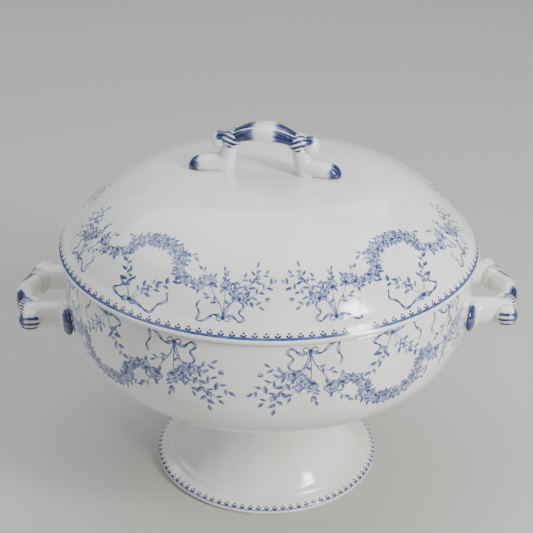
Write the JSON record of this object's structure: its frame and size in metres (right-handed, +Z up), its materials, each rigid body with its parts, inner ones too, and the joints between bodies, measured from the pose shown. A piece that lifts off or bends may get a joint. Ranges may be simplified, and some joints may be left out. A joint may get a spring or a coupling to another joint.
{
  "type": "soup tureen",
  "caption": "Round footed earthenware soup tureen with a low domed lift-off lid and bound loop handles, white glaze with blue floral print.",
  "frame": {"origin": "middle of the foot's resting ring, on the surface the tureen stands on", "axes": "+Z up, +X through the right-hand side handle, -Y towards the front"},
  "size_m": [0.3436, 0.28, 0.2537],
  "materials": {
    "printed_glaze": "gloss",
    "foot_glaze": "gloss",
    "plain_glaze": "gloss",
    "painted_strap": "gloss",
    "painted_knob": "gloss",
    "blue_cord_glaze": "gloss"
  },
  "bodies": {
    "vessel": {"bowl": "printed_glaze", "pedestal_foot": "foot_glaze", "left_handle_grip": "painted_strap", "left_handle_front_leg": "plain_glaze", "left_handle_front_binding": "blue_cord_glaze", "left_handle_front_knob": "painted_knob", "left_handle_rear_leg": "plain_glaze", "left_handle_rear_binding": "blue_cord_glaze", "left_handle_rear_knob": "painted_knob", "right_handle_grip": "painted_strap", "right_handle_front_leg": "plain_glaze", "right_handle_front_binding": "blue_cord_glaze", "right_handle_front_knob": "painted_knob", "right_handle_rear_leg": "plain_glaze", "right_handle_rear_binding": "blue_cord_glaze", "right_handle_rear_knob": "painted_knob"},
    "cover": {"lid": "printed_glaze", "lid_handle_grip": "painted_strap", "lid_handle_left_leg": "plain_glaze", "lid_handle_left_binding": "blue_cord_glaze", "lid_handle_left_knob": "painted_knob", "lid_handle_right_leg": "plain_glaze", "lid_handle_right_binding": "blue_cord_glaze", "lid_handle_right_knob": "painted_knob"}
  },
  "joints": [
    {"name": "lid_lift", "type": "slide", "parent": "vessel", "child": "cover", "axis": [0, 0, 1], "range_m": [0, 0.12]}
  ]
}
